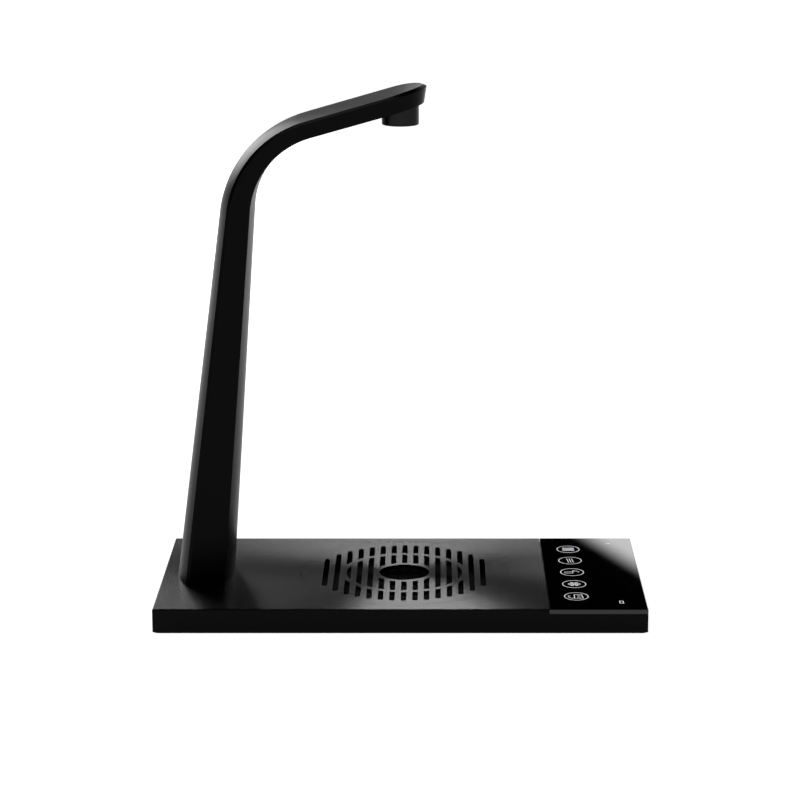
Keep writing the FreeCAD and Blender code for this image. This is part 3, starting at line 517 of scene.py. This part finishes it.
# name, bearing and height as seen from the tap, width and depth across it, brightness
SOFT_BOXES = [
    ("overhead_front", 180, 44, 46, 32, 4.6),
    ("behind", 1.0, 28.5, 10, 7.5, 22.0),
    ("behind_high", 2, 38, 16, 12, 0.8),
    ("back_left", -27, 18, 20, 20, 6.6),
    ("back_left_high", -19, 32, 9, 12, 8.0),
    ("left_high", -42, 31, 14, 12, 9.0),
    ("right_low", 36, 7, 44, 12, 3.8),
]


def stage_sheet(name, corners, material):
    mesh = bpy.data.meshes.new(name)
    mesh.from_pydata(corners, [], [(0, 1, 2, 3)])
    mesh.materials.append(material)
    sheet = bpy.data.objects.new(name, mesh)
    bpy.context.scene.collection.objects.link(sheet)
    return sheet


def glow_material(name, strength):
    """A bare emitter whose strength the caller gives as a value or works out in the tree."""
    material = bpy.data.materials.new(name)
    material.use_nodes = True
    tree = material.node_tree
    tree.nodes.clear()
    out = tree.nodes.new("ShaderNodeOutputMaterial")
    glow = tree.nodes.new("ShaderNodeEmission")
    tree.links.new(strength(tree), glow.inputs["Strength"])
    return material, tree, glow, out


def floor_glow(tree):
    """White to the camera and in reflections: less near the object, where the lamps add the rest."""
    path = tree.nodes.new("ShaderNodeLightPath")
    seen = math_node(tree, "MAXIMUM", path.outputs["Is Camera Ray"], path.outputs["Is Glossy Ray"])
    seen = math_node(tree, "MAXIMUM", seen, path.outputs["Is Transmission Ray"])
    reach = tree.nodes.new("ShaderNodeVectorMath")
    reach.operation = "LENGTH"
    tree.links.new(object_coordinates(tree), reach.inputs[0])
    spread = tree.nodes.new("ShaderNodeMapRange")
    spread.interpolation_type = "SMOOTHSTEP"
    tree.links.new(reach.outputs["Value"], spread.inputs["Value"])
    set_values(spread, From_Min=LIT_REACH, From_Max=PLAIN_REACH, To_Min=LIT_GLOW, To_Max=PLAIN_GLOW)
    return math_node(tree, "MULTIPLY", seen, spread.outputs["Result"])


def floor_material():
    material, tree, glow, out = glow_material("pale_floor", floor_glow)
    matt = tree.nodes.new("ShaderNodeBsdfDiffuse")
    matt.inputs["Color"].default_value = FLOOR_COLOUR
    both = tree.nodes.new("ShaderNodeAddShader")
    tree.links.new(matt.outputs[0], both.inputs[0])
    tree.links.new(glow.outputs[0], both.inputs[1])
    tree.links.new(both.outputs[0], out.inputs["Surface"])
    return material


def card_glow(tree):
    """Full strength below the card's slanted edge, dying away across it."""
    (x0, z0), (x1, z1) = CARD_EDGE
    length = math.hypot(x1 - x0, z1 - z0)
    square = ((z1 - z0) / length, -(x1 - x0) / length)
    parts = tree.nodes.new("ShaderNodeSeparateXYZ")
    tree.links.new(object_coordinates(tree), parts.inputs[0])
    along = math_node(tree, "MULTIPLY_ADD", parts.outputs["X"], square[0], -x0 * square[0] - z0 * square[1])
    inside = math_node(tree, "MULTIPLY_ADD", parts.outputs["Z"], square[1], along)
    fade = tree.nodes.new("ShaderNodeMapRange")
    fade.interpolation_type = "SMOOTHSTEP"
    tree.links.new(inside, fade.inputs["Value"])
    set_values(fade, From_Min=-CARD_SOFT, From_Max=CARD_SOFT, To_Min=0.0, To_Max=CARD_GLOW)
    return fade.outputs["Result"]


def soft_box(name, bearing, height, width, depth, brightness):
    """A lamp facing the tap, its bearing from +Y, height, width and depth in degrees from there."""
    around, up = math.radians(bearing), math.radians(height)
    way = Vector((math.sin(around) * math.cos(up), math.cos(around) * math.cos(up), math.sin(up)))
    light = bpy.data.lights.new(name, "AREA")
    light.shape = "RECTANGLE"
    light.size = 2 * LAMP_DISTANCE * math.tan(math.radians(width) / 2)
    light.size_y = 2 * LAMP_DISTANCE * math.tan(math.radians(depth) / 2)
    light.energy = brightness * math.pi * light.size * light.size_y
    lamp = bpy.data.objects.new(name, light)
    lamp.location = AIM + way * LAMP_DISTANCE
    lamp.rotation_euler = (-way).to_track_quat("-Z", "Y").to_euler()
    lamp.visible_camera = False
    bpy.context.scene.collection.objects.link(lamp)


def make_studio():
    corners = ((-1, -1), (1, -1), (1, 1), (-1, 1))
    stage_sheet("floor", [(x * FLOOR_REACH, y * FLOOR_REACH, 0) for x, y in corners], floor_material())
    card, tree, glow, out = glow_material("card_glow", card_glow)
    tree.links.new(glow.outputs[0], out.inputs["Surface"])
    stage_sheet("corner_card", [(CARD_LEFT, CARD_Y, CARD_LOW), (CARD_RIGHT, CARD_Y, CARD_LOW),
                                (CARD_RIGHT, CARD_Y, CARD_HIGH), (CARD_LEFT, CARD_Y, CARD_HIGH)], card)
    world = bpy.data.worlds.new("dim_room")
    world.use_nodes = True
    world.node_tree.nodes["Background"].inputs["Color"].default_value = (*[ROOM_LIGHT] * 3, 1)
    bpy.context.scene.world = world
    for lamp in SOFT_BOXES:
        soft_box(*lamp)


# ---------------------------------------------------------------- camera
CAMERA_PLACE = (0.02161, -1.77085, 0.59012)
CAMERA_DIP = 13.082                        # degrees below level
SENSOR, LENS = 36, 113.15                  # millimetres
SHIFT_X, SHIFT_Y = -0.03865, -0.05


def make_camera():
    data = bpy.data.cameras.new("camera")
    data.sensor_width, data.lens = SENSOR, LENS
    data.shift_x, data.shift_y = SHIFT_X, SHIFT_Y
    camera = bpy.data.objects.new("camera", data)
    camera.location = CAMERA_PLACE
    camera.rotation_euler = (math.radians(90 - CAMERA_DIP), 0, 0)
    bpy.context.scene.collection.objects.link(camera)
    bpy.context.scene.camera = camera


make_camera()
finish_nodes()
make_key_rings()
make_signs()
make_marks()
make_studio()
bpy.context.scene.view_settings.view_transform = "Standard"
